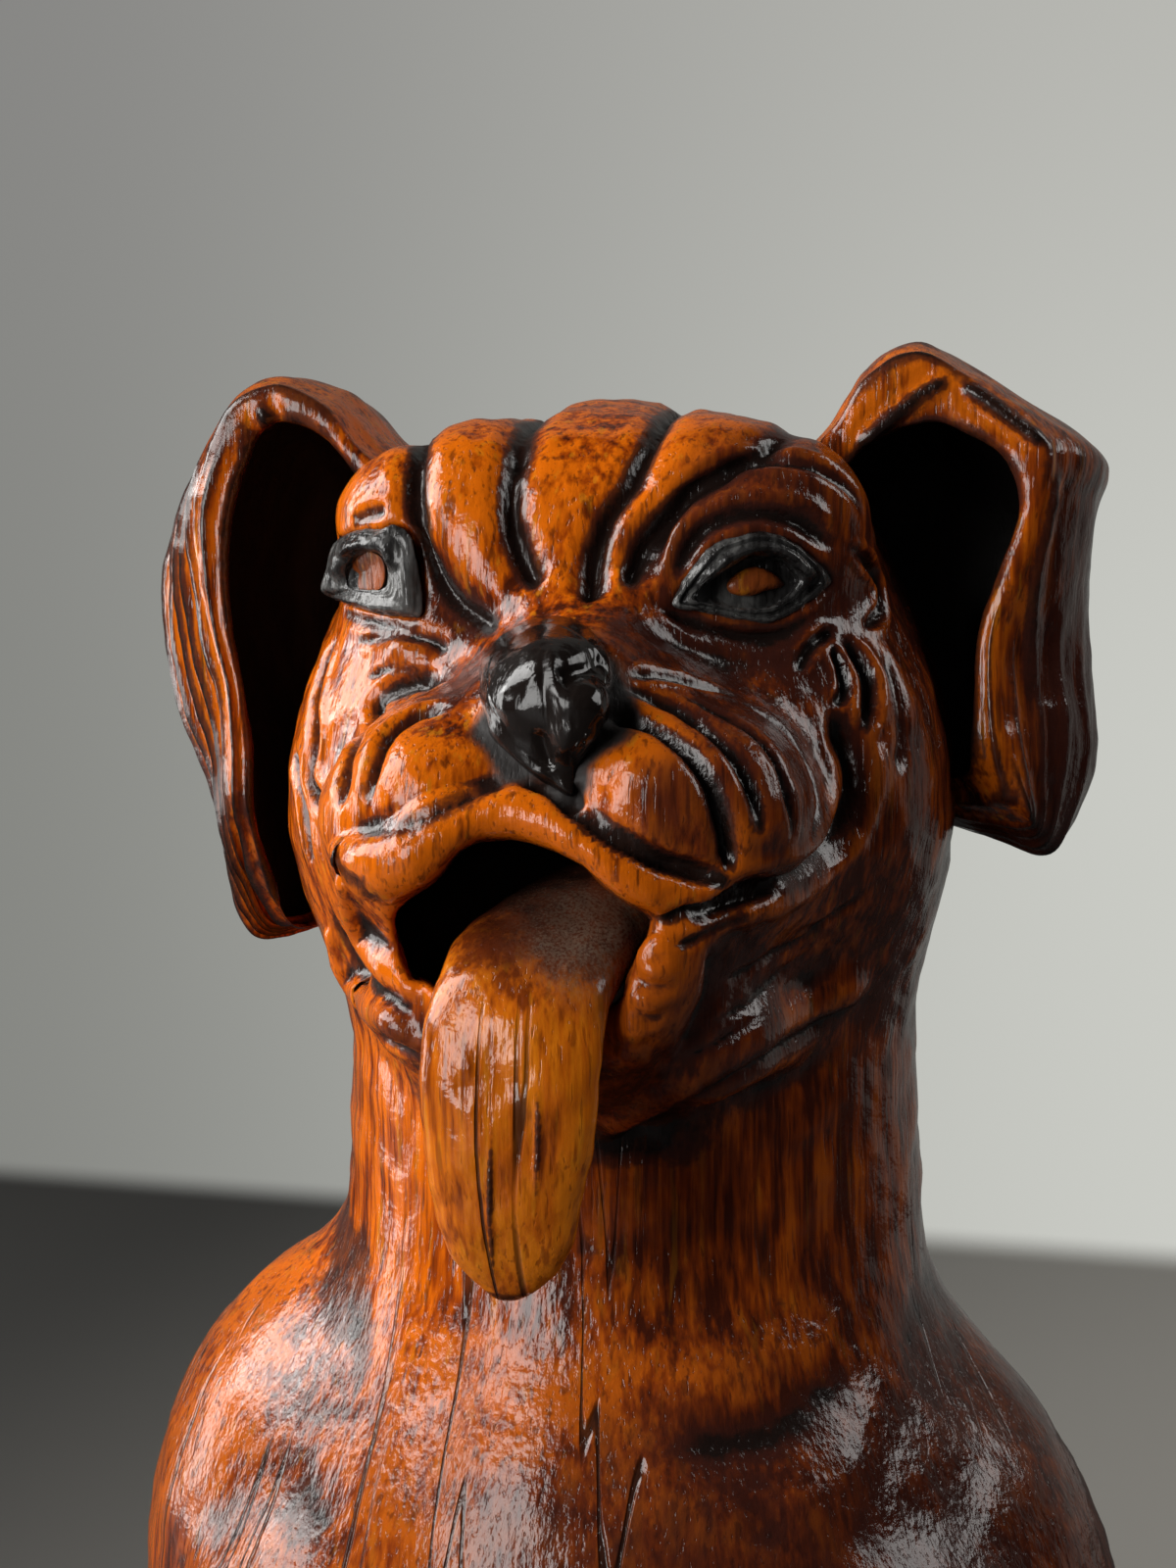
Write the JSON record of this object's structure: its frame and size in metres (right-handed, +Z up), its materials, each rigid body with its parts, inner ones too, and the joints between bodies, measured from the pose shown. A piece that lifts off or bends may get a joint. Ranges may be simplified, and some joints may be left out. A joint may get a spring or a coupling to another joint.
{
  "type": "carved wooden dog",
  "caption": "Seated dog carved in dark red hardwood with a wrinkled brow, folded ears set on dowels, a black nose, inlaid eyes and a long tongue hanging from its open mouth.",
  "frame": {"origin": "centre of the dog's box at the level of its base", "axes": "+Z up, the dog faces -Y, its left side is +X"},
  "size_m": [0.118, 0.1398, 0.2203],
  "materials": {
    "body_wood": "dark red-brown stain under a thick gloss lacquer",
    "ear_and_tail_wood": "dark red-brown stain under a thick gloss lacquer",
    "tongue_wood": "ochre stain under gloss lacquer, checked along the grain",
    "black_wood": "black stain under gloss lacquer",
    "iris_wood": "brown stain under gloss lacquer",
    "dowel_wood": "bare wood, hidden in the joints"
  },
  "bodies": {
    "root": {"log": "body_wood", "left_ear": "ear_and_tail_wood", "left_ear_upper_dowel": "dowel_wood", "left_ear_lower_dowel": "dowel_wood", "right_ear": "ear_and_tail_wood", "right_ear_upper_dowel": "dowel_wood", "right_ear_lower_dowel": "dowel_wood", "tongue": "tongue_wood", "tongue_dowel": "dowel_wood", "nose": "black_wood", "left_eye": "black_wood", "left_eye_iris": "iris_wood", "right_eye": "black_wood", "right_eye_iris": "iris_wood", "tail": "ear_and_tail_wood", "tail_dowel": "dowel_wood"}
  },
  "joints": []
}
